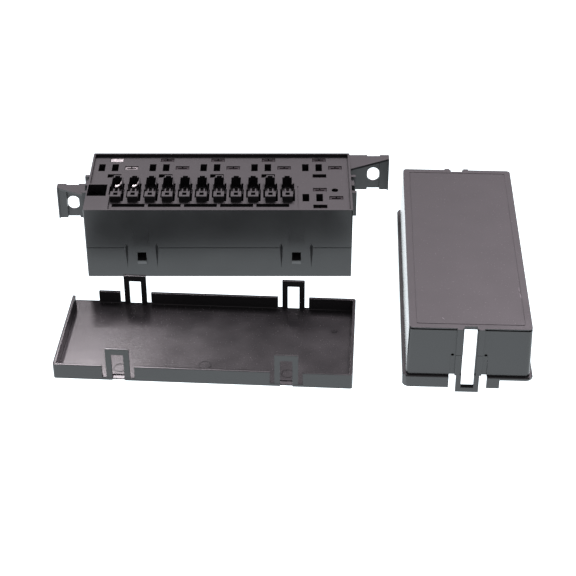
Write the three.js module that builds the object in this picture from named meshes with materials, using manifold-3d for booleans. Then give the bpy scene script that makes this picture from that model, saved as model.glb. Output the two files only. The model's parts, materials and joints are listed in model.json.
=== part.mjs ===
// Fuse and relay box for a vehicle, taken apart and laid out on a bench: the housing with its
// crimped terminals, the shallow bottom tray with four latch loops, and the deep lid with two straps.
// Millimetres, +X along the housing, +Y to its back, +Z up. Origin: bottom centre of the whole layout.
import * as THREE from 'three';
import { ConvexGeometry } from 'three/addons/geometries/ConvexGeometry.js';
import { mergeVertices } from 'three/addons/utils/BufferGeometryUtils.js';
import Module from 'manifold-3d';

const wasm = await Module();
wasm.setup();

// ---------------------------------------------------------------- driving dimensions
const GAP = 0.3; // clearance between pieces that would touch
const WALL = 2; // moulded wall of the housing
const COVER_WALL = 1.8; // moulded wall of the tray and the lid
const OVERLAP = 0.1; // how far joined bodies run into each other
const THROUGH = 5; // how far a cutter runs past a face

const RELAY_PITCH = 30.5; // one 28 mm relay and the finger space beside it
const RELAY_COUNT = 5; // relays in the back row
const FUSE_PITCH = 10;
const FUSE_COUNT = 11;

const HOUSING = { length: 155, width: 65, height: 46, corner: 0.9, rim: 1.2, deckTop: 44, deckUnder: 41.5 };
const CELLS_BOTTOM = 24; // underside of the terminal cells
const FIRST_RELAY_X = -63.4; // middle slot of the first relay
const RELAY_ROW_Y = 18.3;
const LAST_RELAY = { x: FIRST_RELAY_X + 4 * RELAY_PITCH, y: -16 };
const RELAY_CELL = { left: 11.5, right: 15, half: 12 };

const FIRST_FUSE_X = -60;
const FUSE_FIELD = { left: -63.5, right: 46, back: -3, grooveWidth: 0.6, grooveDepth: 0.5 };
const SEAT = { top: 47.5, back: 3.9, neck: 1.6, split: -6.6, middle: -0.35, halfRear: 3.3, halfNeck: 2.2 };
const SEAT_BLOCK = { half: 3.05, y: [-20, -14.3], holeHalf: 1.25, hole: [-18.4, -15.7] };
const WELL = { half: 2.8, front: -6.6, back: 1.4, notchHalf: 1.5, notchBack: 3.2, floor: 41 };
const SIDE_SLOT = { x: [2.95, 3.85], y: [-6.7, 0.2] }; // beside the well, from the seat's middle
const PIT = { half: 4.3, y: [-14.4, -6.5], leftFront: -15.6, rightFront: -19.6, floor: 36 };
const H_BAR = { inner: 0.95, outer: 1.7, y: [-14.5, -10.4], cross: [-14.5, -13.5], top: 46.9 };
const BIG_CAVITY = { x: [-76.9, -65.8], y: [-17, -4.2] };
const LOCK_SLOT = { length: 19, width: 3.5, pitch: 20.9, firstX: -52.2, y: -24.2, count: 5 };
const VENT = { x: 67.7, y: -7.4, radius: 2 };

const LATCH_X = 45.1; // latch stations, left and right of the middle
const SIDE_GROOVE = { z: [19.9, 20.3], depth: 0.35 };
const LATCH_LUG = { width: 5.2, bottom: 9, top: 12.1, depth: 1.4, windowTop: 16.9 };
const LATCH_POCKET = { depth: 6.5, wall: 1.2 }; // blind pocket behind each latch window
const GUIDE_NOTCH = { offset: 8.75, half: 1.3, depth: 1.3, bottom: 4.5, widest: 20.5, top: 24 };
const LATCH_PAD = { width: 8.9, bottom: 21, fadeFrom: 27, top: 36, depth: 0.4 }; // thins out upward
const END_RIB = { inner: 7.8, outer: 10.2, depth: 3, bottom: 28, top: 44 };
const END_LUG = { width: 5.5, bottom: 39, top: 44.5, depth: 2.5 };

const EAR = {
  reach: 24, height: 21.6, thickness: 4.8, flange: 1.3, gusset: 16.9,
  holeRadius: 3.65, holeStretch: 1.1, holeAt: 14.65, holeUp: 9.5,
  column: 7.5, frontRecess: 2.2, backRecess: 1.2, lipWidth: 0.9, lipDepth: 0.7,
  rightBottom: 23.2, leftBottom: 2.9,
};

const TRAY = { length: 161, width: 70.6, height: 9.3, floor: 2, corner: 1.5 };
const TRAY_NOTCH = 17.5; // gap in the wall at each latch loop
const TRAY_CLEAR = { back: 14.3, left: 6 }; // walls left out round the low ear
const LOOP = { width: 12.8, window: 6.5, windowTop: 17, top: 20.8, thickness: 1.8 };
const LOOP_ROOT = { top: 1.4, bottom: 0.6, depth: 3, under: 2 }; // strip of floor left across the window

const LID = {
  length: 161.2, width: 64, top: 41, corner: 2.2, ledge: 11, skirtLength: 166, skirtWidth: 69,
  skirtBottom: 3.8, skirtCorner: 4, roof: 2,
};
const LID_GROOVE = { inset: 3.6, width: 0.4, depth: 0.3, corner: 1 };
const LID_EDGE_LINE = { z: [38.9, 39.8], depth: 0.6 };
const STRAP = {
  window: 6.7, hinge: 24, half: 9.6, legHalf: 6.15, bar: 2.9, slotHalf: 10, ribInner: 4.1, ribOuter: 7.1,
  ribDepth: 1.2, dot: 0.9, dotAt: 8.7, dotDepth: 1.2,
};
const SKIRT_TAB = 6.9; // skirt left beside the strap before the ear cut-out
const EAR_CUT_ALONG = 14; // how far the ear cut-out runs round the corner along the side

const TERMINAL = {
  sheet: 1.15, lip: 0.35, length: 11, neckLength: 5, barrel: 3.2, barrelLength: 7,
};
const FUSE_CONTACT = { width: 5.7, thickness: 2.8 };
const RELAY_CONTACT = { width: 7.5, thickness: 3.3 };

// Where the pieces lie on the bench: the housing in the middle, the tray before it, the lid beside it.
const TRAY_PLACE = { x: -3.7, y: -98.9, turn: THREE.MathUtils.degToRad(-3.4) };
const LID_PLACE = { x: 138.4, y: -59.6, turn: THREE.MathUtils.degToRad(-92.3) };

// ---------------------------------------------------------------- materials
const blackPlastic = new THREE.MeshStandardMaterial({ color: 0x2b2b2d, roughness: 0.5, metalness: 0 });
const tinPlate = new THREE.MeshStandardMaterial({ color: 0xb9b6ae, roughness: 0.32, metalness: 0.95 });

// ---------------------------------------------------------------- solids
const add = (first, ...others) => others.reduce((body, other) => body.add(other), first);
const cut = (first, ...tools) => tools.reduce((body, tool) => body.subtract(tool), first);

function asSolid(geometry) {
  geometry.deleteAttribute('normal');
  geometry.deleteAttribute('uv');
  const merged = mergeVertices(geometry, 1e-4);
  const vertProperties = merged.attributes.position.array;
  const triVerts = Uint32Array.from(merged.index.array);
  return new wasm.Manifold(new wasm.Mesh({ numProp: 3, vertProperties, triVerts }));
}

function block([x0, x1], [y0, y1], [z0, z1]) {
  const geometry = new THREE.BoxGeometry(x1 - x0, y1 - y0, z1 - z0);
  return asSolid(geometry.translate((x0 + x1) / 2, (y0 + y1) / 2, (z0 + z1) / 2));
}

// Both edges of a strip of this width about a middle.
const span = (middle, width) => [middle - width / 2, middle + width / 2];

// The same interval on the other side of zero where side is -1.
function mirrored([low, high], side) {
  return side > 0 ? [low, high] : [-high, -low];
}

function outline(points) {
  return new THREE.Shape(points.map(([x, y]) => new THREE.Vector2(x, y)));
}

function prismZ(shape, [z0, z1], curveSegments = 4) {
  const geometry = new THREE.ExtrudeGeometry(shape, { depth: z1 - z0, bevelEnabled: false, curveSegments });
  return asSolid(geometry.translate(0, 0, z0));
}

// An outline drawn in (y, z) and run along X.
function prismX(points, [x0, x1]) {
  const geometry = new THREE.ExtrudeGeometry(outline(points), { depth: x1 - x0, bevelEnabled: false });
  const axes = [new THREE.Vector3(0, 1, 0), new THREE.Vector3(0, 0, 1), new THREE.Vector3(1, 0, 0)];
  geometry.applyMatrix4(new THREE.Matrix4().makeBasis(...axes));
  return asSolid(geometry.translate(x0, 0, 0));
}

// An outline drawn in (x, z) and run along Y.
function prismY(points, [y0, y1]) {
  const geometry = new THREE.ExtrudeGeometry(outline(points), { depth: y1 - y0, bevelEnabled: false });
  const axes = [new THREE.Vector3(1, 0, 0), new THREE.Vector3(0, 0, 1), new THREE.Vector3(0, -1, 0)];
  geometry.applyMatrix4(new THREE.Matrix4().makeBasis(...axes));
  return asSolid(geometry.translate(0, y1, 0));
}

function rodX(radius, [x0, x1], y, z, sides = 12) {
  const geometry = new THREE.CylinderGeometry(radius, radius, x1 - x0, sides).rotateZ(Math.PI / 2);
  return asSolid(geometry.translate((x0 + x1) / 2, y, z));
}

function rodY(radius, [y0, y1], x, z, sides = 32) {
  const geometry = new THREE.CylinderGeometry(radius, radius, y1 - y0, sides);
  return asSolid(geometry.translate(x, (y0 + y1) / 2, z));
}

function rodZ(radius, [z0, z1], x, y, sides = 20) {
  const geometry = new THREE.CylinderGeometry(radius, radius, z1 - z0, sides).rotateX(Math.PI / 2);
  return asSolid(geometry.translate(x, y, (z0 + z1) / 2));
}

function roundedRectangle(length, width, radius) {
  const x = length / 2 - radius;
  const y = width / 2 - radius;
  const shape = new THREE.Shape();
  shape.absarc(x, y, radius, 0, Math.PI / 2);
  shape.absarc(-x, y, radius, Math.PI / 2, Math.PI);
  shape.absarc(-x, -y, radius, Math.PI, 1.5 * Math.PI);
  shape.absarc(x, -y, radius, 1.5 * Math.PI, 2 * Math.PI);
  return shape;
}

function roundedBox(length, width, radius, z) {
  return prismZ(roundedRectangle(length, width, radius), z);
}

function toMesh(name, solid, material) {
  const { vertProperties, triVerts } = solid.getMesh();
  const geometry = new THREE.BufferGeometry();
  geometry.setAttribute('position', new THREE.BufferAttribute(new Float32Array(vertProperties), 3));
  geometry.setIndex(new THREE.BufferAttribute(new Uint32Array(triVerts), 1));
  geometry.computeVertexNormals();
  const mesh = new THREE.Mesh(geometry, material);
  mesh.name = name;
  return mesh;
}

// ---------------------------------------------------------------- terminal places
// Each slot of a relay: its middle from the relay's middle slot, whether its blade lies along X,
// and how high the terminal in it reaches (none in the middle slot).
const RELAY_SLOTS = [
  { pin: '87', dx: -8, dy: 0.3, alongX: false, top: 38 },
  { pin: '87a', dx: 0, dy: 0.3, alongX: false },
  { pin: '30', dx: 9.75, dy: 0, alongX: true, top: 43.6 },
  { pin: '86', dx: 0.3, dy: 9.15, alongX: true, top: 43.6 },
  { pin: '85', dx: 0.3, dy: -9.4, alongX: true, top: 42.4 },
];
const SLOT_ALONG_X = { x: 8.1, y: 4 };
const SLOT_ALONG_Y = { x: 3.9, y: 8.2 };

function relayPlaces() {
  const places = [];
  for (let i = 0; i < RELAY_COUNT; i += 1) {
    places.push({ x: FIRST_RELAY_X + i * RELAY_PITCH, y: RELAY_ROW_Y });
  }
  places.push(LAST_RELAY);
  return places;
}

function fusePlaces() {
  return Array.from({ length: FUSE_COUNT }, (_, i) => FIRST_FUSE_X + i * FUSE_PITCH);
}

const FUSE_CONTACTS = [
  { side: 'rear', y: [-6.5, -0.2], top: 40.5 },
  { side: 'front', y: [-19.4, -13.1], top: 38 },
];
const FUSE_CELL_HALF = FUSE_CONTACT.thickness / 2 + GAP;

// ---------------------------------------------------------------- housing
function housingShell() {
  const { length, width, height, corner, rim, deckTop, deckUnder } = HOUSING;
  const body = roundedBox(length, width, corner, [0, height]);
  const inside = roundedBox(length - 2 * WALL, width - 2 * WALL, corner / 2, [-THROUGH, deckUnder]);
  const recess = roundedBox(length - 2 * rim, width - 2 * rim, corner / 2, [deckTop, height + THROUGH]);
  const flushCorner = block([-length, FUSE_FIELD.left], [-width, FUSE_FIELD.back], [0, height + 2 * THROUGH]);
  const groove = block(
    span(FUSE_FIELD.right, FUSE_FIELD.grooveWidth),
    [-width / 2 + rim, FUSE_FIELD.back],
    [deckTop - FUSE_FIELD.grooveDepth, height],
  );
  return cut(body, inside, cut(recess, flushCorner), groove);
}

function cellBlocks() {
  const z = [CELLS_BOTTOM, HOUSING.deckUnder + OVERLAP];
  const blocks = relayPlaces().map(({ x, y }) =>
    block([x - RELAY_CELL.left, x + RELAY_CELL.right], span(y, 2 * RELAY_CELL.half), z));
  const fuses = fusePlaces();
  const fuseBlock = block(
    [fuses[0] - PIT.half - 1, fuses[FUSE_COUNT - 1] + PIT.half + 1],
    [SEAT_BLOCK.y[0], SEAT.back],
    z,
  );
  return [...blocks, fuseBlock];
}

function relaySlots() {
  const z = [CELLS_BOTTOM - THROUGH, HOUSING.height + THROUGH];
  return relayPlaces().flatMap((place) =>
    RELAY_SLOTS.map(({ dx, dy, alongX }) => {
      const size = alongX ? SLOT_ALONG_X : SLOT_ALONG_Y;
      return block(span(place.x + dx, size.x), span(place.y + dy, size.y), z);
    }));
}

// A fuse seat stands proud of the deck: a thin-walled rear well with a narrow neck at its back,
// and in front of it a block over the second blade.
function fuseSeat(x) {
  const { top, back, neck, split, middle, halfRear, halfNeck } = SEAT;
  const z = [HOUSING.deckTop - OVERLAP, top];
  const half = [[halfRear, split], [halfRear, neck], [halfNeck, neck + 0.7], [halfNeck, back]];
  const left = half.map(([u, y]) => [x + middle - u, y]).reverse();
  const right = half.map(([u, y]) => [x + middle + u, y]);
  return add(prismZ(outline([...right, ...left]), z), block(span(x, 2 * SEAT_BLOCK.half), SEAT_BLOCK.y, z));
}

// The two terminal cells, the rear well, the pit between the blades and the front blade's hole.
function fuseSeatCuts(x) {
  const above = SEAT.top + THROUGH;
  const cells = FUSE_CONTACTS.map(({ y }) =>
    block(span(x, 2 * FUSE_CELL_HALF), y, [CELLS_BOTTOM - THROUGH, WELL.floor + OVERLAP]));
  const pitZ = [PIT.floor, above];
  const wellZ = [WELL.floor, above];
  return [
    ...cells,
    block(span(x, 2 * PIT.half), PIT.y, pitZ),
    block([x - PIT.half, x - SEAT_BLOCK.half], [PIT.leftFront, PIT.y[0] + OVERLAP], pitZ),
    block([x + SEAT_BLOCK.half, x + PIT.half], [PIT.rightFront, PIT.y[0] + OVERLAP], pitZ),
    block([x + SIDE_SLOT.x[0], x + SIDE_SLOT.x[1]], SIDE_SLOT.y, wellZ),
    block(span(x + SEAT.middle, 2 * WELL.half), [WELL.front, WELL.back], wellZ),
    block(span(x + SEAT.middle, 2 * WELL.notchHalf), [WELL.back - OVERLAP, WELL.notchBack], wellZ),
    block(span(x, 2 * SEAT_BLOCK.holeHalf), SEAT_BLOCK.hole, wellZ),
  ];
}

// Two bars and a crosspiece in the pit keep the fuse off its middle.
function fuseSeatBars(x) {
  const z = [WELL.floor, H_BAR.top];
  return [
    block([x - H_BAR.outer, x - H_BAR.inner], H_BAR.y, z),
    block([x + H_BAR.inner, x + H_BAR.outer], H_BAR.y, z),
    block(span(x, 2 * SEAT_BLOCK.half), H_BAR.cross, z),
  ];
}

function lockSlots() {
  return Array.from({ length: LOCK_SLOT.count }, (_, i) => block(
    span(LOCK_SLOT.firstX + i * LOCK_SLOT.pitch, LOCK_SLOT.length),
    span(LOCK_SLOT.y, LOCK_SLOT.width),
    [HOUSING.deckUnder - THROUGH, HOUSING.height],
  ));
}

// A fine line runs along each side where the moulding tools meet, but not across the latch stations.
function sideGroove(side) {
  const face = HOUSING.width / 2;
  const line = block(
    [-HOUSING.length, HOUSING.length],
    mirrored([face - SIDE_GROOVE.depth, face + THROUGH], side),
    SIDE_GROOVE.z,
  );
  const kept = [-LATCH_X, LATCH_X].map((x) => block(
    span(x, 2 * GUIDE_NOTCH.offset),
    mirrored([0, face + 2 * THROUGH], side),
    [0, HOUSING.height],
  ));
  return cut(line, ...kept);
}

function latchStation(x, side) {
  const face = HOUSING.width / 2;
  const lugProfile = [
    [face - OVERLAP, LATCH_LUG.bottom], [face + 0.3, LATCH_LUG.bottom],
    [face + LATCH_LUG.depth, LATCH_LUG.top - 1], [face + LATCH_LUG.depth, LATCH_LUG.top],
    [face - OVERLAP, LATCH_LUG.top],
  ].map(([y, z]) => [side * y, z]);
  const lug = prismX(side > 0 ? lugProfile : lugProfile.reverse(), span(x, LATCH_LUG.width));
  const padProfile = [
    [face - OVERLAP, LATCH_PAD.bottom], [face + LATCH_PAD.depth, LATCH_PAD.bottom],
    [face + LATCH_PAD.depth, LATCH_PAD.fadeFrom], [face - OVERLAP, LATCH_PAD.top],
  ].map(([y, z]) => [side * y, z]);
  const pad = prismX(side > 0 ? padProfile : padProfile.reverse(), span(x, LATCH_PAD.width));
  return [lug, pad];
}

// The guide beside a latch: a notch that is deepest near its top and runs out downward.
function guideNotch(x, side) {
  const face = HOUSING.width / 2;
  const points = [
    [0, 0, GUIDE_NOTCH.top], [0, 0, GUIDE_NOTCH.bottom],
    [GUIDE_NOTCH.half, 0, GUIDE_NOTCH.widest], [-GUIDE_NOTCH.half, 0, GUIDE_NOTCH.widest],
    [0, -GUIDE_NOTCH.depth, GUIDE_NOTCH.widest],
  ].map(([dx, dy, z]) => new THREE.Vector3(x + dx, side * (face + OVERLAP + dy), z));
  return asSolid(new ConvexGeometry(points));
}

// A blind pocket behind each window takes the nose of the latch bar.
function latchPocket(x, side) {
  const inner = HOUSING.width / 2 - WALL;
  const y = mirrored([inner - LATCH_POCKET.depth, inner + OVERLAP], side);
  const around = 2 * LATCH_POCKET.wall;
  const z = [LATCH_LUG.top - LATCH_POCKET.wall, LATCH_LUG.windowTop + LATCH_POCKET.wall];
  return block(span(x, LATCH_LUG.width + around), y, z);
}

function latchWindow(x, side) {
  const face = HOUSING.width / 2;
  const y = mirrored([face - WALL - LATCH_POCKET.depth + LATCH_POCKET.wall, face + THROUGH], side);
  return block(span(x, LATCH_LUG.width), y, [LATCH_LUG.top, LATCH_LUG.windowTop]);
}

// Two ribs guide the lid strap and a wedge with a flat underside holds it.
function endCatch(side) {
  const face = HOUSING.length / 2;
  const ribs = [-1, 1].map((way) => block(
    mirrored([face - OVERLAP, face + END_RIB.depth], side),
    mirrored([END_RIB.inner, END_RIB.outer], way),
    [END_RIB.bottom, END_RIB.top],
  ));
  const profile = [
    [face - OVERLAP, END_LUG.bottom], [face + END_LUG.depth, END_LUG.bottom],
    [face + END_LUG.depth, END_LUG.bottom + 1], [face + 1.8, END_LUG.top], [face - OVERLAP, END_LUG.top],
  ].map(([x, z]) => [side * x, z]);
  const lug = prismY(side > 0 ? profile : profile.reverse(), span(0, END_LUG.width));
  return [...ribs, lug];
}

// A mounting ear level with the back wall: a plate, a flange on top that widens to the wall,
// and a thinner column round the upright bolt slot.
function ear(side, bottom) {
  const wall = HOUSING.length / 2;
  const back = HOUSING.width / 2;
  const end = wall + EAR.reach;
  const top = bottom + EAR.height;
  const hole = wall + EAR.holeAt;
  const front = back - EAR.thickness;
  const x = mirrored([wall - OVERLAP, end], side);
  const plate = block(x, [front, back], [bottom, top]);
  const root = wall - OVERLAP;
  const flangeOutline = [[root, back - EAR.gusset], [end, front], [end, back], [root, back]]
    .map(([u, y]) => [side * u, y]);
  const flange = prismZ(outline(side > 0 ? flangeOutline : flangeOutline.reverse()), [top - EAR.flange, top]);
  const lip = block(
    mirrored([end - EAR.lipWidth, end], side),
    [front - EAR.lipDepth, front + OVERLAP],
    [bottom, top],
  );
  const column = mirrored(span(hole, EAR.column), side);
  const middle = bottom + EAR.holeUp;
  const through = [front - THROUGH, back + THROUGH];
  const ends = [-1, 1].map((way) =>
    rodY(EAR.holeRadius, through, side * hole, middle + way * EAR.holeStretch));
  return cut(
    add(plate, flange, lip),
    block(column, [front - THROUGH, front + EAR.frontRecess], [bottom - THROUGH, top - EAR.flange]),
    block(column, [back - EAR.backRecess, back + THROUGH], [bottom - THROUGH, top + THROUGH]),
    block(mirrored(span(hole, 2 * EAR.holeRadius), side), through, span(middle, 2 * EAR.holeStretch)),
    ...ends,
  );
}

function housing() {
  const fuses = fusePlaces();
  const stations = [-1, 1].flatMap((side) => [-LATCH_X, LATCH_X].map((x) => [x, side]));
  const shell = cut(housingShell(), sideGroove(1), sideGroove(-1));
  const body = add(shell, ...cellBlocks(), ...fuses.map(fuseSeat));
  const pierced = cut(
    body,
    ...relaySlots(),
    ...fuses.flatMap(fuseSeatCuts),
    ...lockSlots(),
    block(BIG_CAVITY.x, BIG_CAVITY.y, [HOUSING.deckUnder - THROUGH, HOUSING.height + THROUGH]),
    rodZ(VENT.radius, [HOUSING.deckUnder - THROUGH, HOUSING.height], VENT.x, VENT.y),
  );
  const fitted = add(
    pierced,
    ...fuses.flatMap(fuseSeatBars),
    ...stations.flatMap(([x, side]) => [...latchStation(x, side), latchPocket(x, side)]),
    ...endCatch(1),
    ...endCatch(-1),
    ear(1, EAR.rightBottom),
    ear(-1, EAR.leftBottom),
  );
  const notches = stations.flatMap(([x, side]) =>
    [-1, 1].map((way) => guideNotch(x + way * GUIDE_NOTCH.offset, side)));
  return cut(fitted, ...notches, ...stations.map(([x, side]) => latchWindow(x, side)));
}

// ---------------------------------------------------------------- terminals
// A female terminal: a curled C that grips the blade, a flat neck and an open crimp barrel.
// Its blade lies along X, and z = 0 is its top edge.
function terminal({ width, thickness }) {
  const { sheet, lip, length, neckLength, barrel, barrelLength } = TERMINAL;
  const w = width / 2;
  const t = thickness / 2;
  const grip = prismZ(outline([
    [-w, -t], [w, -t], [w, t], [lip, t], [lip, t - sheet], [w - sheet, t - sheet],
    [w - sheet, -t + sheet], [-w + sheet, -t + sheet], [-w + sheet, t - sheet], [-lip, t - sheet],
    [-lip, t], [-w, t],
  ]), [-length, 0]);
  const neckEnd = -length - neckLength;
  const neck = block(span(0, barrel * 0.8), [-t, -t + sheet], [neckEnd - 1, -length + 1]);
  const b = barrel / 2;
  const crimp = prismZ(outline([
    [-b, -t], [b, -t], [b, -t + barrel * 0.8], [b - sheet, -t + barrel * 0.8],
    [b - sheet, -t + sheet], [-b + sheet, -t + sheet], [-b + sheet, -t + barrel * 0.8],
    [-b, -t + barrel * 0.8],
  ]), [neckEnd - barrelLength, neckEnd]);
  return add(grip, neck, crimp);
}

function placedTerminal(name, contact, x, y, top, alongX) {
  const mesh = toMesh(name, terminal(contact), tinPlate);
  mesh.position.set(x, y, top);
  mesh.rotation.z = alongX ? 0 : Math.PI / 2;
  return mesh;
}

function relayTerminals() {
  const filled = RELAY_SLOTS.filter(({ top }) => top);
  return relayPlaces().flatMap((place, i) => filled.map((slot) => placedTerminal(
    `relay_${i + 1}_terminal_${slot.pin}`,
    RELAY_CONTACT,
    place.x + slot.dx,
    place.y + slot.dy,
    slot.top,
    slot.alongX,
  )));
}

function fuseTerminals() {
  return fusePlaces().flatMap((x, i) => FUSE_CONTACTS.map(({ side, y, top }) => placedTerminal(
    `fuse_${i + 1}_terminal_${side}`,
    FUSE_CONTACT,
    x,
    (y[0] + y[1]) / 2,
    top,
    false,
  )));
}

// ---------------------------------------------------------------- tray
function tray() {
  const { length, width, height, floor, corner } = TRAY;
  const above = [floor, height + THROUGH];
  const inside = roundedBox(length - 2 * COVER_WALL, width - 2 * COVER_WALL, corner / 2, above);
  const shell = cut(roundedBox(length, width, corner, [0, height]), inside);
  const notches = [-1, 1].flatMap((side) => {
    const wallBand = mirrored([width / 2 - COVER_WALL - OVERLAP, width], side);
    const rootBand = mirrored([width / 2 - LOOP_ROOT.depth, width], side);
    const underBand = mirrored([width / 2 - LOOP_ROOT.under, width], side);
    return [-LATCH_X, LATCH_X].flatMap((x) => [
      block(span(x, TRAY_NOTCH), wallBand, above),
      block(span(x, LOOP.window), rootBand, [LOOP_ROOT.top, height]),
      block(span(x, LOOP.window), underBand, [-THROUGH, LOOP_ROOT.bottom]),
    ]);
  });
  return cut(
    shell,
    ...notches,
    block([-length, -length / 2 + TRAY_CLEAR.back], [width / 2 - COVER_WALL - OVERLAP, width], above),
    block([-length, -length / 2 + COVER_WALL + corner], [width / 2 - TRAY_CLEAR.left, width], above),
  );
}

// A latch loop: two legs and the bar that snaps over the housing's lug.
function latchLoop(x, side) {
  const y = mirrored([TRAY.width / 2 - LOOP.thickness, TRAY.width / 2], side);
  const frame = block(span(x, LOOP.width), y, [TRAY.floor + GAP, LOOP.top]);
  const window = block(span(x, LOOP.window), mirrored([0, TRAY.width], side), [-THROUGH, LOOP.windowTop]);
  return cut(frame, window);
}

// ---------------------------------------------------------------- lid
function lidShell() {
  const { length, width, top, corner, ledge, roof } = LID;
  const bothWalls = 2 * COVER_WALL;
  const upper = roundedBox(length, width, corner, [ledge - OVERLAP, top]);
  const skirt = roundedBox(LID.skirtLength, LID.skirtWidth, LID.skirtCorner, [LID.skirtBottom, ledge]);
  const inner = roundedBox(length - bothWalls, width - bothWalls, corner / 2, [-THROUGH, top - roof]);
  const underLedge = [-THROUGH, ledge - COVER_WALL];
  const wide = roundedBox(LID.skirtLength - bothWalls, LID.skirtWidth - bothWalls, corner, underLedge);
  return cut(add(upper, skirt), inner, wide, topGroove(), edgeLine());
}

// A shallow line runs round the roof a little way in from its edge.
function topGroove() {
  const ring = (inset, z) => roundedBox(LID.length - 2 * inset, LID.width - 2 * inset, LID_GROOVE.corner, z);
  const outer = ring(LID_GROOVE.inset, [LID.top - LID_GROOVE.depth, LID.top + THROUGH]);
  return cut(outer, ring(LID_GROOVE.inset + LID_GROOVE.width, [LID.top - THROUGH, LID.top + 2 * THROUGH]));
}

// A shadow line runs round the walls just below the roof's edge.
function edgeLine() {
  const { length, width, corner } = LID;
  const deep = 2 * LID_EDGE_LINE.depth;
  const [low, high] = LID_EDGE_LINE.z;
  const outer = roundedBox(length + THROUGH, width + THROUGH, corner, LID_EDGE_LINE.z);
  return cut(outer, roundedBox(length - deep, width - deep, corner, [low - THROUGH, high + THROUGH]));
}

// The fixed upper half of a strap: two ribs on the end wall beside the window.
function strapRibs(side) {
  const face = LID.length / 2;
  return [-1, 1].map((way) => block(
    mirrored([face - OVERLAP, face + STRAP.ribDepth], side),
    mirrored([STRAP.ribInner, STRAP.ribOuter], way),
    [STRAP.hinge + GAP, LID.top],
  ));
}

function strapOpening(side) {
  const x = mirrored([LID.length / 2 - COVER_WALL - OVERLAP, LID.skirtLength], side);
  return [
    block(x, span(0, 2 * (STRAP.half + GAP)), [-THROUGH, STRAP.hinge]),
    block(x, span(0, 2 * STRAP.slotHalf), [-THROUGH, LID.ledge + OVERLAP]),
    block(x, span(0, STRAP.window), [-THROUGH, LID.top + THROUGH]),
    ...strapDots(side),
  ];
}

// A blind round mark at each end of the bending line.
function strapDots(side) {
  const face = LID.length / 2;
  const x = mirrored([face - STRAP.dotDepth, face + THROUGH], side);
  return [-1, 1].map((way) => rodX(STRAP.dot, x, way * STRAP.dotAt, STRAP.hinge));
}

function lid() {
  const earCutOut = block(
    [LID.skirtLength / 2 - EAR_CUT_ALONG, LID.skirtLength],
    [STRAP.slotHalf + SKIRT_TAB, LID.skirtWidth],
    [-THROUGH, LID.ledge - COVER_WALL],
  );
  const body = add(lidShell(), ...strapRibs(1), ...strapRibs(-1));
  return cut(body, ...strapOpening(1), ...strapOpening(-1), earCutOut);
}

// The springy lower half of a strap, from its bending line down to the bar that catches the end lug.
function lidStrap(side) {
  const outer = LID.length / 2;
  const plate = mirrored([outer - COVER_WALL, outer], side);
  const thick = mirrored([outer - COVER_WALL, outer + STRAP.ribDepth], side);
  const top = STRAP.hinge - GAP;
  const window = block([-LID.length, LID.length], span(0, STRAP.window), [STRAP.bar, STRAP.hinge + THROUGH]);
  const ribs = [-1, 1].map((way) =>
    block(thick, mirrored([STRAP.ribInner, STRAP.ribOuter], way), [LID.ledge, top]));
  const body = add(
    block(plate, span(0, 2 * STRAP.half), [LID.ledge, top]),
    block(thick, span(0, 2 * STRAP.legHalf), [0, LID.ledge + OVERLAP]),
    ...ribs,
  );
  return cut(body, window, ...strapDots(side));
}

// ---------------------------------------------------------------- assembly
const SIDES = [{ way: -1, depth: 'front', hand: 'left' }, { way: 1, depth: 'back', hand: 'right' }];

function housingGroup() {
  const group = new THREE.Group();
  group.add(toMesh('housing', housing(), blackPlastic), ...relayTerminals(), ...fuseTerminals());
  return group;
}

function trayGroup() {
  const group = new THREE.Group();
  group.add(toMesh('bottom_tray', tray(), blackPlastic));
  for (const { way: side, depth } of SIDES) {
    for (const { way, hand } of SIDES) {
      const loop = latchLoop(way * LATCH_X, side);
      group.add(toMesh(`tray_latch_${depth}_${hand}`, loop, blackPlastic));
    }
  }
  group.position.set(TRAY_PLACE.x, TRAY_PLACE.y, 0);
  group.rotation.z = TRAY_PLACE.turn;
  return group;
}

function lidGroup() {
  const group = new THREE.Group();
  group.add(
    toMesh('lid', lid(), blackPlastic),
    toMesh('lid_strap_near', lidStrap(1), blackPlastic),
    toMesh('lid_strap_far', lidStrap(-1), blackPlastic),
  );
  group.position.set(LID_PLACE.x, LID_PLACE.y, 0);
  group.rotation.z = LID_PLACE.turn;
  return group;
}

const fuseBox = new THREE.Group();
fuseBox.add(housingGroup(), trayGroup(), lidGroup());
const bounds = new THREE.Box3().setFromObject(fuseBox, true);
const centre = bounds.getCenter(new THREE.Vector3());
fuseBox.position.set(-centre.x, -centre.y, -bounds.min.z);

export default fuseBox;
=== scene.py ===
"""A vehicle fuse and relay box laid open: housing with terminals, bottom tray, deep lid.

The mouldings are copies of the CAD meshes with their edges rounded, plus the marks that moulding
leaves and painted highlights on the lid's roof. Distances are metres in the row frame.
"""
import json
import math

import bmesh
import bpy
from mathutils import Matrix, Vector


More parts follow.
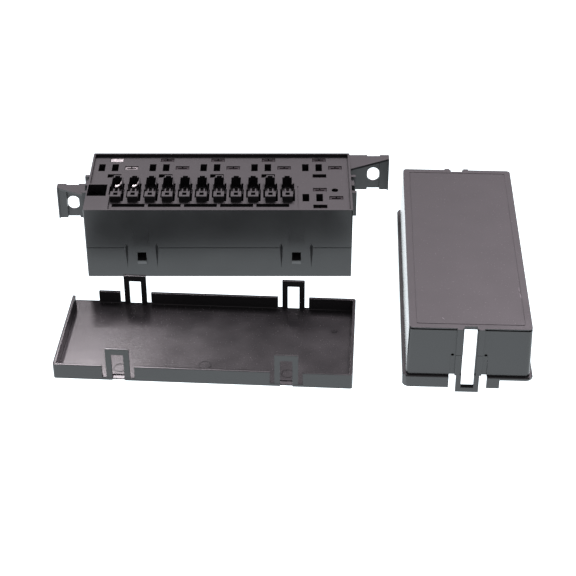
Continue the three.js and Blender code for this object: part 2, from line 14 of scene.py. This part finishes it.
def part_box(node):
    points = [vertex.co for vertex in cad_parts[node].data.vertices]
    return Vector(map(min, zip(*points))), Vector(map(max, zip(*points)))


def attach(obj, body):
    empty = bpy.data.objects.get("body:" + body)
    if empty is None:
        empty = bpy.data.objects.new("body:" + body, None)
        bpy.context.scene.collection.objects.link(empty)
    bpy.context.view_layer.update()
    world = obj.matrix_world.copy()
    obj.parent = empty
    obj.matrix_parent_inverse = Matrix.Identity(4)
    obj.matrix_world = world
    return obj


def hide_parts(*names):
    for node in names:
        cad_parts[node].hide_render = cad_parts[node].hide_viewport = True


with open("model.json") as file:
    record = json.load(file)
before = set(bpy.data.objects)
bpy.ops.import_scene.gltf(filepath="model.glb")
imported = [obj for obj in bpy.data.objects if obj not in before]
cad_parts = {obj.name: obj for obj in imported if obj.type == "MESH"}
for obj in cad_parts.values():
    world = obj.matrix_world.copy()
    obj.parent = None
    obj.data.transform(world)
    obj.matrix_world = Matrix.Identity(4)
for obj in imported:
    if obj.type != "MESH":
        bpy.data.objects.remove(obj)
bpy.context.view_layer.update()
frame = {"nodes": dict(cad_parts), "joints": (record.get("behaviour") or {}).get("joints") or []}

MM = 0.001

# ---------------------------------------------------------------- places
HOUSING_LOW, HOUSING_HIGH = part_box("housing")
HOUSING_BACK = 33.9 * MM  # from the housing's middle to the outer face of the lugs on its back wall
HOUSING_CENTRE = Vector(((HOUSING_LOW.x + HOUSING_HIGH.x) / 2, HOUSING_HIGH.y - HOUSING_BACK, 0))
HALF_HOUSING = Vector((77.5, 32.5, 0)) * MM
JOINTS = {joint["name"]: joint for joint in frame["joints"]}


def middle_of(*joint_names):
    """The middle of these joints' axes, on the floor."""
    points = [Vector(JOINTS[name]["pos_m"]) for name in joint_names]
    middle = sum(points, Vector()) / len(points)
    return Vector((middle.x, middle.y, 0))


TRAY_JOINTS = [f"tray_latch_{depth}_{hand}_flex" for depth in ("front", "back") for hand in ("left", "right")]
LID_JOINTS = ["lid_strap_near_flex", "lid_strap_far_flex"]
TRAY_AXIS = Vector(JOINTS["tray_latch_back_left_flex"]["axis"])
TRAY_TURN = math.atan2(-TRAY_AXIS.y, -TRAY_AXIS.x)
TRAY_FRAME = Matrix.Translation(middle_of(*TRAY_JOINTS)) @ Matrix.Rotation(TRAY_TURN, 4, "Z")
LID_AXIS = Vector(JOINTS["lid_strap_near_flex"]["axis"])
LID_TURN = math.atan2(LID_AXIS.x, -LID_AXIS.y)
LID_FRAME = Matrix.Translation(middle_of(*LID_JOINTS)) @ Matrix.Rotation(LID_TURN, 4, "Z")
TRAY_FLOOR = 2 * MM

# ---------------------------------------------------------------- camera
CAMERA_ASIDE = 40.2 * MM  # from the housing's middle
CAMERA_BACK = 790 * MM
CAMERA_HEIGHT = 520 * MM
CAMERA_DOWN = math.radians(34.9)
FOCAL_LENGTH = 97.4  # on a 36 mm sensor


def make_camera():
    data = bpy.data.cameras.new("camera")
    data.lens = FOCAL_LENGTH
    data.sensor_width = 36
    data.clip_start = 0.01
    camera = bpy.data.objects.new("camera", data)
    camera.location = HOUSING_CENTRE + Vector((CAMERA_ASIDE, -CAMERA_BACK, CAMERA_HEIGHT))
    camera.rotation_euler = (math.pi / 2 - CAMERA_DOWN, 0, 0)
    bpy.context.scene.collection.objects.link(camera)
    bpy.context.scene.camera = camera


# ---------------------------------------------------------------- node helpers
def new_material(name):
    material = bpy.data.materials.new(name)
    material.use_nodes = True
    shader = material.node_tree.nodes["Principled BSDF"]
    return material, material.node_tree, shader


def noise(tree, scale, detail=3, stretch=(1, 1, 1)):
    """Noise in the object's own coordinates, so it moves with the piece."""
    nodes, links = tree.nodes, tree.links
    place = nodes.new("ShaderNodeTexCoord")
    mapping = nodes.new("ShaderNodeMapping")
    mapping.inputs["Scale"].default_value = stretch
    texture = nodes.new("ShaderNodeTexNoise")
    texture.inputs["Scale"].default_value = scale
    texture.inputs["Detail"].default_value = detail
    links.new(place.outputs["Object"], mapping.inputs["Vector"])
    links.new(mapping.outputs["Vector"], texture.inputs["Vector"])
    return texture.outputs["Fac"]


def ranged(tree, value, low, high, start=0.3, end=0.7):
    """Maps a value from start..end to low..high."""
    node = tree.nodes.new("ShaderNodeMapRange")
    node.inputs["From Min"].default_value = start
    node.inputs["From Max"].default_value = end
    node.inputs["To Min"].default_value = low
    node.inputs["To Max"].default_value = high
    tree.links.new(value, node.inputs["Value"])
    return node.outputs["Result"]


def summed(tree, first, second):
    node = tree.nodes.new("ShaderNodeMath")
    tree.links.new(first, node.inputs[0])
    tree.links.new(second, node.inputs[1])
    return node.outputs["Value"]


def multiplied(tree, first, second):
    output = summed(tree, first, second)
    output.node.operation = "MULTIPLY"
    return output


def upward(tree):
    """How far the face looks up: 1 for a level top, 0 for a wall, whatever the camera does."""
    place = tree.nodes.new("ShaderNodeTexCoord")
    parts = tree.nodes.new("ShaderNodeSeparateXYZ")
    tree.links.new(place.outputs["Normal"], parts.inputs["Vector"])
    return parts.outputs["Z"]


def mixed(tree, factor, first, second):
    node = tree.nodes.new("ShaderNodeMix")
    node.data_type = "RGBA"
    tree.links.new(factor, node.inputs["Factor"])
    for socket, colour in (("A", first), ("B", second)):
        target = next(i for i in node.inputs if i.name == socket and i.type == "RGBA")
        if hasattr(colour, "is_output"):
            tree.links.new(colour, target)
        else:
            target.default_value = (*colour, 1)
    return next(o for o in node.outputs if o.type == "RGBA")


def bumped(tree, shader, height, distance, strength, under=None):
    node = tree.nodes.new("ShaderNodeBump")
    node.inputs["Distance"].default_value = distance
    node.inputs["Strength"].default_value = strength
    tree.links.new(height, node.inputs["Height"])
    if under:
        tree.links.new(under, node.inputs["Normal"])
    tree.links.new(node.outputs["Normal"], shader.inputs["Normal"])
    return node.outputs["Normal"]


# ---------------------------------------------------------------- materials
NYLON = ((0.0125, 0.0125, 0.0132), (0.0165, 0.0162, 0.0170))  # the two shades of its flow marks
NYLON_IOR = 1.53
DUST_COLOUR = (0.12, 0.115, 0.115)
# Pale, rough colours for the painted highlights along the lid's roof groove.
HIGHLIGHT_COLOURS = ((0.10, 0.095, 0.10), (0.24, 0.23, 0.24))
HIGHLIGHT_ROUGHNESS = 0.6
DULL_SHARE = 0.62  # brightness of the dull patches on metal
# Noise scales, in cells per metre.
FLOW_SCALE = 28
GLOSS_SCALE = 55
WAVE_SCALE = 180
PATCH_SCALE = 420
HIGHLIGHT_PATCH_SCALE = 900
DUST_SCALE = 1400
STREAK_SCALE = 2600
GRAIN_SCALE = 3200
WAVE_HEIGHT = 0.00004
STREAK_HEIGHT = 0.00003


def moulded_plastic(name, gloss, grain, dust=0.5):
    """Black glass-filled nylon: fine spark-eroded grain, soft flow marks and a little dust.

    gloss is the roughness of a face that looks up and of a wall, grain the height of the texture
    in metres, dust how much of it lies on a face that looks up.
    """
    material, tree, shader = new_material(name)
    flow = noise(tree, FLOW_SCALE, detail=2, stretch=(1, 2.2, 1))
    body = mixed(tree, ranged(tree, flow, 0, 1), *NYLON)
    settled = ranged(tree, upward(tree), 0, dust, start=0.3, end=0.9)
    grains = ranged(tree, noise(tree, DUST_SCALE, detail=1), 0, 1, start=0.71, end=0.78)
    specks = multiplied(tree, settled, grains)
    worn = mixed(tree, specks, body, DUST_COLOUR)
    tree.links.new(worn, shader.inputs["Base Color"])
    facing = ranged(tree, upward(tree), gloss[1], gloss[0], start=0.2, end=0.8)
    uneven = ranged(tree, noise(tree, GLOSS_SCALE), -0.03, 0.03)
    tree.links.new(summed(tree, facing, uneven), shader.inputs["Roughness"])
    shader.inputs["IOR"].default_value = NYLON_IOR
    slow = bumped(tree, shader, noise(tree, WAVE_SCALE, detail=2), WAVE_HEIGHT, 0.35)
    bumped(tree, shader, noise(tree, GRAIN_SCALE, detail=2), grain, 0.6, under=slow)
    return material


def painted_highlight_plastic():
    """The same plastic painted pale and rough, as a painted highlight."""
    material, tree, shader = new_material("painted_highlight_plastic")
    patches = ranged(tree, noise(tree, HIGHLIGHT_PATCH_SCALE), 0, 1)
    tree.links.new(mixed(tree, patches, *HIGHLIGHT_COLOURS), shader.inputs["Base Color"])
    shader.inputs["Roughness"].default_value = HIGHLIGHT_ROUGHNESS
    return material


def tinned_metal(name, colour, gloss):
    """Tin plate on brass, with drawn streaks and dull patches."""
    material, tree, shader = new_material(name)
    patches = noise(tree, PATCH_SCALE, detail=3)
    dull = tuple(c * DULL_SHARE for c in colour)
    tree.links.new(mixed(tree, ranged(tree, patches, 0, 1), dull, colour), shader.inputs["Base Color"])
    tree.links.new(ranged(tree, patches, *gloss), shader.inputs["Roughness"])
    shader.inputs["Metallic"].default_value = 1
    bumped(tree, shader, noise(tree, STREAK_SCALE, detail=2, stretch=(1, 1, 0.08)), STREAK_HEIGHT, 0.4)
    return material


HOUSING_PLASTIC = moulded_plastic("housing_plastic", (0.48, 0.35), 0.000010)
TRAY_PLASTIC = moulded_plastic("tray_plastic", (0.205, 0.24), 0.000004, dust=0.8)
LID_PLASTIC = moulded_plastic("lid_plastic", (0.45, 0.20), 0.000014, dust=0.8)
# Pale plastic for the painted highlights on the roof.
HIGHLIGHT_PLASTIC = painted_highlight_plastic()
# Three copies of one tin. The first is the tin's own colour; the second and third are the same tin painted
# darker, as painted half shade and painted shade on terminals down in their slots.
BRIGHT_TIN = tinned_metal("bright_tin", (0.50, 0.49, 0.48), (0.34, 0.46))
HALF_SHADED_TIN = tinned_metal("half_shaded_tin", (0.24, 0.23, 0.23), (0.3, 0.5))
SHADED_TIN = tinned_metal("shaded_tin", (0.042, 0.038, 0.040), (0.45, 0.6))

# ---------------------------------------------------------------- mouldings
FLAT_ANGLE = math.radians(0.6)
SMOOTH_ANGLE = math.radians(32)
BEVEL_ANGLE = math.radians(35)
HOUSING_EDGE = 0.22 * MM
TRAY_EDGE = 0.3 * MM
LATCH_EDGE = 0.25 * MM
LID_EDGE = 0.22 * MM
STRAP_EDGE = 0.25 * MM
TONGUE_EDGE = 0.1 * MM
NEAR = 0.1 * MM  # points closer than this to a plane count as lying on it
SAME_POINT = 0.002 * MM
RING_STEPS = 40
RING_SUNK = 0.1 * MM
RING_FLAT = (0.7, 0.3)  # shares of the width in from the outside, between which the top is flat


def add_prism(shape, first, second):
    """A closed body between two outlines with the same number of corners."""
    rings = [[shape.verts.new(point) for point in outline] for outline in (first, second)]
    count = len(first)
    for j in range(count):
        k = (j + 1) % count
        shape.faces.new((rings[0][j], rings[0][k], rings[1][k], rings[1][j]))
    for ring in rings:
        shape.faces.new(ring)


def copied(node):
    """A bmesh of a CAD node with its flat faces joined up again."""
    shape = bmesh.new()
    shape.from_mesh(frame["nodes"][node].data)
    bmesh.ops.remove_doubles(shape, verts=shape.verts, dist=SAME_POINT)
    bmesh.ops.dissolve_limit(shape, angle_limit=FLAT_ANGLE, verts=shape.verts, edges=shape.edges)
    return shape


def finished(name, shape, body, material, replaced, edge):
    """Makes a piece of the shape, rounds its edges and hangs it on its body."""
    mesh = bpy.data.meshes.new(name)
    shape.to_mesh(mesh)
    shape.free()
    piece = bpy.data.objects.new(name, mesh)
    bpy.context.scene.collection.objects.link(piece)
    mesh.materials.append(material)
    for polygon in mesh.polygons:
        polygon.use_smooth = True
    if edge:
        bevel = piece.modifiers.new("edges", "BEVEL")
        bevel.width = edge
        bevel.segments = 2
        bevel.limit_method = "ANGLE"
        bevel.angle_limit = BEVEL_ANGLE
        bevel.use_clamp_overlap = True
        bevel.harden_normals = False
    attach(piece, body)
    if replaced:
        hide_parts(replaced)
    smooth_by_angle(piece)
    return piece


def smooth_by_angle(piece):
    """Applies the modifiers, then keeps corners sharp and rounded stretches smooth."""
    depsgraph = bpy.context.evaluated_depsgraph_get()
    mesh = bpy.data.meshes.new_from_object(piece.evaluated_get(depsgraph))
    piece.modifiers.clear()
    mesh.name = piece.data.name
    piece.data = mesh
    mesh.set_sharp_from_angle(angle=SMOOTH_ANGLE)
    weighted = piece.modifiers.new("normals", "WEIGHTED_NORMAL")
    weighted.keep_sharp = True


def add_ring(shape, frame_matrix, centre, radius, width, height):
    """A ring round the centre: a lathe of a flat-topped ridge whose foot is sunk into the floor."""
    crest = [(radius - width * share, height) for share in RING_FLAT]
    profile = [(radius - width, -RING_SUNK), *crest, (radius, -RING_SUNK)]
    rows = []
    for i in range(RING_STEPS):
        turn = 2 * math.pi * i / RING_STEPS
        row = []
        for r, z in profile:
            point = Vector((centre[0] + r * math.cos(turn), centre[1] + r * math.sin(turn), centre[2] + z))
            row.append(shape.verts.new(frame_matrix @ point))
        rows.append(row)
    count = len(profile)
    for i, row in enumerate(rows):
        following = rows[(i + 1) % RING_STEPS]
        for j in range(count):
            k = (j + 1) % count
            shape.faces.new((row[j], following[j], following[k], row[k]))


def make_housing():
    shape = copied("housing")
    finished("housing_moulding", shape, "housing", HOUSING_PLASTIC, "housing",
             HOUSING_EDGE)


# Marks on the tray's floor: their places in millimetres from the tray's middle, and the outer
# radius, width and height of the ring.
EJECTOR_MARKS = [(-45.7, 27.3), (45.4, 26.0), (0.1, -21.6), (-45.4, -26.5), (45.4, -26.5)]
EJECTOR_RING = (3.7 * MM, 0.8 * MM, 0.22 * MM)
GATE_MARK = (69.0, 13.2)
GATE_BLOB = (1.9 * MM, 1.7 * MM, 0.3 * MM)


def make_tray():
    shape = copied("bottom_tray")
    finished("tray_moulding", shape, "bottom_tray", TRAY_PLASTIC, "bottom_tray", TRAY_EDGE)
    marks = bmesh.new()
    for (x, y), ring in [(place, EJECTOR_RING) for place in EJECTOR_MARKS] + [(GATE_MARK, GATE_BLOB)]:
        add_ring(marks, TRAY_FRAME, (x * MM, y * MM, TRAY_FLOOR), *ring)
    bmesh.ops.recalc_face_normals(marks, faces=marks.faces)
    finished("tray_ejector_marks", marks, "bottom_tray", TRAY_PLASTIC, None, None)


def stretch(shape, low, high, shift):
    """Moves every point between two heights up or down by shift."""
    for vert in shape.verts:
        if low <= vert.co.z <= high:
            vert.co.z += shift


LATCH_ROOT_DROP = 0.5 * MM  # how far the lowest points of a loop are drawn down


def make_latches():
    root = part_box("tray_latch_front_left")[0].z
    for depth in ("front", "back"):
        for hand in ("left", "right"):
            node = f"tray_latch_{depth}_{hand}"
            shape = copied(node)
            stretch(shape, 0, root + NEAR, -LATCH_ROOT_DROP)
            finished(f"{node}_moulding", shape, node, TRAY_PLASTIC, node, LATCH_EDGE)


LID_HALF = Vector((80.6, 32.0)) * MM  # half the roof's length and width
LID_CORNER = 2.2 * MM  # radius of the upright corners
CORNER_SLACK = 0.01 * MM
WALL_ARC = (0.7, 1.15)  # shares of that radius between which a corner's points move with the walls
LINE_ARC = 0.6  # the least share for the line round the roof, which lies a little deeper
LID_TOP = 41 * MM
LEDGE_HEIGHT = 11 * MM
LEDGE_REACH = 1.5 * MM  # points this far outside the walls belong to the ledge's rim
RIM_RADIUS = 0.9 * MM
RIM_STEPS = 4
SHORTEST_RIM_EDGE = 0.2 * MM
WALL_BAND = (-1.2 * MM, 0.3 * MM)  # points this far in or out of a wall's face move with it
LID_DRAFT = 0.8 * MM  # how far the walls lean out at the ledge
EDGE_LINE = (38.85 * MM, 39.85 * MM)  # the heights between which the line round the roof lies
EDGE_LINE_BAND = 0.75 * MM  # points this far in from a wall's face may belong to it
EDGE_LINE_RISE = 0.75 * MM


def past_corner_centre(place):
    """How far a point lies outside the centre of the nearest upright corner, along the lid and across."""
    return Vector((abs(place.x), abs(place.y))) - LID_HALF + Vector((LID_CORNER, LID_CORNER))


def in_corner(beyond, inner, outer=math.inf):
    """Whether the point is on a corner's arc, between two shares of its radius."""
    return min(beyond) > -CORNER_SLACK and inner < beyond.length / LID_CORNER < outer


def lean_out(shape):
    """Gives the lid's outer walls their draft, widest at the ledge."""
    to_lid = LID_FRAME.inverted()
    for vert in shape.verts:
        place = to_lid @ vert.co
        if not LEDGE_HEIGHT - NEAR < place.z < LID_TOP:
            continue
        shift = LID_DRAFT * (LID_TOP - place.z) / (LID_TOP - LEDGE_HEIGHT)
        beyond = past_corner_centre(place)
        at_corner = in_corner(beyond, *WALL_ARC)
        for axis in (0, 1):
            on_wall = WALL_BAND[0] < beyond[axis] - LID_CORNER < WALL_BAND[1]
            if on_wall or at_corner:
                place[axis] += math.copysign(shift, place[axis])
        vert.co = LID_FRAME @ place


def raise_edge_line(shape):
    """Brings the line round the roof right up under the roof's edge."""
    to_lid = LID_FRAME.inverted()
    for vert in shape.verts:
        place = to_lid @ vert.co
        beyond = past_corner_centre(place)
        outside = max(beyond) > LID_CORNER - EDGE_LINE_BAND
        if EDGE_LINE[0] < place.z < EDGE_LINE[1] and (outside or in_corner(beyond, LINE_ARC)):
            vert.co.z += EDGE_LINE_RISE


def round_rim(shape):
    """Rounds the outer edge of the ledge more than the other edges."""
    to_lid = LID_FRAME.inverted()
    rim = []
    for edge in shape.edges:
        ends = [to_lid @ vert.co for vert in edge.verts]
        level = all(abs(end.z - LEDGE_HEIGHT) < NEAR for end in ends)
        outer = all(max(past_corner_centre(end)) > LID_CORNER + LEDGE_REACH for end in ends)
        if level and outer and edge.calc_length() > SHORTEST_RIM_EDGE:
            rim.append(edge)
    bmesh.ops.bevel(shape, geom=rim, offset=RIM_RADIUS, segments=RIM_STEPS, profile=0.5, affect="EDGES")


def make_lid():
    shape = copied("lid")
    lean_out(shape)
    raise_edge_line(shape)
    round_rim(shape)
    finished("lid_moulding", shape, "lid", LID_PLASTIC, "lid", LID_EDGE)


# Painted highlights: pale streaks along the roof's groove, in millimetres from the lid's middle: start, end,
# width.
ROOF_HIGHLIGHTS = [((42, 27.4), (46.5, 27.7), 0.5), ((47.2, 27.6), (53, 28.1), 0.7), ((71, -14.9), (73, -13.6), 0.6)]
HIGHLIGHT_WIDEST = 0.6  # share of the length
HIGHLIGHT_HEIGHTS = (-0.05, 0.03)  # underside and top of a streak, in millimetres from the roof


def make_roof_highlights():
    """Painted highlights along the roof's groove: pale thin slivers that taper to both ends."""
    marks = bmesh.new()
    for start, end, width in ROOF_HIGHLIGHTS:
        run = Vector(end) - Vector(start)
        aside = Vector((-run.y, run.x)).normalized() * width / 2
        middle = Vector(start) + run * HIGHLIGHT_WIDEST
        corners = (Vector(start), middle - aside, Vector(end), middle + aside)
        outlines = []
        for height in HIGHLIGHT_HEIGHTS:
            level = LID_TOP + height * MM
            outlines.append([LID_FRAME @ Vector((c.x * MM, c.y * MM, level)) for c in corners])
        add_prism(marks, *outlines)
    bmesh.ops.recalc_face_normals(marks, faces=marks.faces)
    finished("lid_painted_highlights", marks, "lid", HIGHLIGHT_PLASTIC, None, None)


def widen(shape, reach, shift):
    """Moves the points farther than reach from the lid's middle line outward by shift."""
    to_lid = LID_FRAME.inverted()
    for vert in shape.verts:
        place = to_lid @ vert.co
        if abs(place.y) > reach:
            place.y += math.copysign(shift, place.y)
            vert.co = LID_FRAME @ place


STRAP_HALF = 9.6 * MM
STRAP_WIDER = 0.27 * MM
STRAP_HIGHER = 0.4 * MM


def make_straps():
    """The straps, with the slits beside them and above them all but closed, as moulded."""
    for end in ("near", "far"):
        node = f"lid_strap_{end}"
        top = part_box(node)[1].z
        shape = copied(node)
        stretch(shape, top - NEAR, math.inf, STRAP_HIGHER)
        widen(shape, STRAP_HALF - NEAR, STRAP_WIDER)
        finished(f"{node}_moulding", shape, node, LID_PLASTIC, node, STRAP_EDGE)


# ---------------------------------------------------------------- terminals
# Relay 1's coil terminal keeps the tin's own colour. Its terminal 30 gets tin painted in half shade, and
# every other terminal gets tin painted dark as shade.
TERMINAL_METALS = {
    "relay_1_terminal_86": BRIGHT_TIN,
    "relay_1_terminal_30": HALF_SHADED_TIN,
}
FUSE_PITCH = 10 * MM
FIRST_FUSE = Vector((-60, -5.2, 45.2)) * MM  # the tip of its rear contact, from the housing's middle
SHINY_CONTACTS = 2  # only the first two fuses have tips that catch the light
# The parts of a tip, placed from it: two leaves with their half width and reach, and a slanting edge.
TIP_LEAVES = [
    (Vector((-0.55, -0.4, 0)) * MM, 0.75 * MM, 1.9 * MM),
    (Vector((0.65, 0.3, 0.2)) * MM, 0.35 * MM, 1.2 * MM),
]
TIP_SLANT = (Vector((0.95, 0.6, 0)) * MM, Vector((2.45, 3.9, 1.6)) * MM)
SLANT_HALF = 0.22 * MM
CONTACT_SHEET = 0.35 * MM
LEAF_BEND = 0.4 * MM
LEAF_DROP = 3.2 * MM
LEAF_LIP = 0.7 * MM
LEAF_RISE = 0.15 * MM  # how much its back end stands above the fold
TONGUE_HALF = (3.75 * MM, 1.7 * MM)
TONGUE_SHEET = 0.3 * MM
TONGUE_ABOVE = 0.38 * MM  # its top above the terminal in the slot


def dress_terminals():
    for name, node in frame["nodes"].items():
        if "terminal" not in name:
            continue
        node.data.materials.clear()
        # Terminals not listed get tin painted dark as painted shade.
        node.data.materials.append(TERMINAL_METALS.get(name, SHADED_TIN))


def add_extrusion(shape, middle, profile, half_width):
    """A profile in the Y-Z plane drawn out to both sides of the middle."""
    outlines = []
    for side in (-1, 1):
        outlines.append([middle + Vector((side * half_width, y, z)) for y, z in profile])
    add_prism(shape, *outlines)


def add_leaf(shape, middle, half_width, reach):
    """A leaf of sheet that rises from below and folds back over its top."""
    sheet, bend = CONTACT_SHEET, LEAF_BEND
    outer = [(0, -LEAF_DROP), (0, -bend), (bend, 0), (reach, LEAF_RISE), (reach + bend, -LEAF_LIP)]
    inner = [(reach, -sheet), (bend + sheet / 2, -sheet), (sheet, -bend - sheet / 2), (sheet, -LEAF_DROP)]
    add_extrusion(shape, middle, outer + inner, half_width)


def add_slant(shape, low, high):
    """A thin bar from low to high with a flat top, the cut edge of the spring."""
    section = [(-SLANT_HALF, 0), (SLANT_HALF, 0), (SLANT_HALF, -CONTACT_SHEET), (-SLANT_HALF, -CONTACT_SHEET)]
    add_prism(shape, *[[end + Vector((x, 0, z)) for x, z in section] for end in (low, high)])


def make_contact_tips():
    """The tip of a rear fuse contact: two folded leaves and the spring edge that slants up beside them."""
    for i in range(SHINY_CONTACTS):
        tip = bmesh.new()
        middle = HOUSING_CENTRE + FIRST_FUSE + Vector((i * FUSE_PITCH, 0, 0))
        for place, half_width, reach in TIP_LEAVES:
            add_leaf(tip, middle + place, half_width, reach)
        add_slant(tip, *[middle + end for end in TIP_SLANT])
        bmesh.ops.recalc_face_normals(tip, faces=tip.faces)
        finished(f"fuse_{i + 1}_contact_tip", tip, "housing", BRIGHT_TIN, None, None)


def make_coil_tongue():
    """A bright folded tongue fills the coil slot of the first relay."""
    low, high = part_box("relay_1_terminal_86")
    middle = Vector(((low.x + high.x) / 2, (low.y + high.y) / 2, high.z + TONGUE_ABOVE))
    tongue = bmesh.new()
    length, width = TONGUE_HALF
    profile = [(-width, 0), (width, 0), (width, -TONGUE_SHEET), (-width, -TONGUE_SHEET)]
    add_extrusion(tongue, middle, profile, length)
    bmesh.ops.recalc_face_normals(tongue, faces=tongue.faces)
    finished("relay_1_coil_tongue", tongue, "housing", BRIGHT_TIN, None, TONGUE_EDGE)


# ---------------------------------------------------------------- studio
FLOOR_GLOW = (0.93, 1.0, 1.04)
FLOOR_STRENGTH = 1.9
FLOOR_HALF = 6  # metres
FLOOR_DROP = 0.05 * MM
SHADE_DROP = 0.02 * MM
SHADE_INSET = 3 * MM
SKY = (1.0, 0.93, 0.98)
SKY_STRENGTH = 0.35
# name, place, what it points at, width, height, power, colour
LIGHTS = [
    ("top_softbox", (0.1, 0.95, 1.6), (0, 0, 0), 2.6, 0.9, 25, (1.0, 0.87, 0.96)),
    ("left_strip", (-0.33, 1.30, 1.75), (-0.1, -0.05, 0), 0.16, 1.1, 12.0, (1.0, 0.92, 0.97)),
    ("right_softbox", (0.58, 1.34, 1.55), (0.1, 0, 0), 0.6, 0.7, 12.5, (1.0, 0.87, 0.96)),
]


def emission_material(name, colour, strength):
    material = bpy.data.materials.new(name)
    material.use_nodes = True
    tree = material.node_tree
    tree.nodes.clear()
    glow = tree.nodes.new("ShaderNodeEmission")
    glow.inputs["Color"].default_value = (*colour, 1)
    glow.inputs["Strength"].default_value = strength
    output = tree.nodes.new("ShaderNodeOutputMaterial")
    tree.links.new(glow.outputs["Emission"], output.inputs["Surface"])
    return material


def flat_sheet(name, low, high, drop, material):
    """A level rectangle, a little below the ground."""
    mesh = bpy.data.meshes.new(name)
    corners = [(low[0], low[1], 0), (high[0], low[1], 0), (high[0], high[1], 0), (low[0], high[1], 0)]
    mesh.from_pydata(corners, [], [(0, 1, 2, 3)])
    sheet = bpy.data.objects.new(name, mesh)
    sheet.location.z = -drop
    bpy.context.scene.collection.objects.link(sheet)
    mesh.materials.append(material)
    return sheet


def make_floor():
    glow = emission_material("lit_table", FLOOR_GLOW, FLOOR_STRENGTH)
    floor = flat_sheet("floor", (-FLOOR_HALF, -FLOOR_HALF), (FLOOR_HALF, FLOOR_HALF), FLOOR_DROP, glow)


def make_shade():
    """No light reaches the bench under the housing."""
    low, high = HOUSING_CENTRE - HALF_HOUSING, HOUSING_CENTRE + HALF_HOUSING
    first = (low.x + SHADE_INSET, low.y + SHADE_INSET)
    last = (high.x - SHADE_INSET, high.y - SHADE_INSET)
    shade = flat_sheet("shade", first, last, SHADE_DROP, emission_material("unlit_bench", (0, 0, 0), 0))


def area_light(name, place, target, width, height, power, colour):
    data = bpy.data.lights.new(name, "AREA")
    data.shape = "RECTANGLE"
    data.size = width
    data.size_y = height
    data.energy = power
    data.color = colour
    light = bpy.data.objects.new(name, data)
    light.location = place
    direction = Vector(target) - Vector(place)
    light.rotation_euler = direction.to_track_quat("-Z", "Y").to_euler()
    bpy.context.scene.collection.objects.link(light)


def make_lights():
    bpy.context.scene.view_settings.view_transform = "Standard"
    world = bpy.data.worlds.new("studio")
    world.use_nodes = True
    background = world.node_tree.nodes["Background"]
    background.inputs["Color"].default_value = (*SKY, 1)
    background.inputs["Strength"].default_value = SKY_STRENGTH
    bpy.context.scene.world = world
    for light in LIGHTS:
        area_light(*light)


make_camera()
make_housing()
make_tray()
make_latches()
make_lid()
make_roof_highlights()
make_straps()
dress_terminals()
make_contact_tips()
make_coil_tongue()
make_floor()
make_shade()
make_lights()
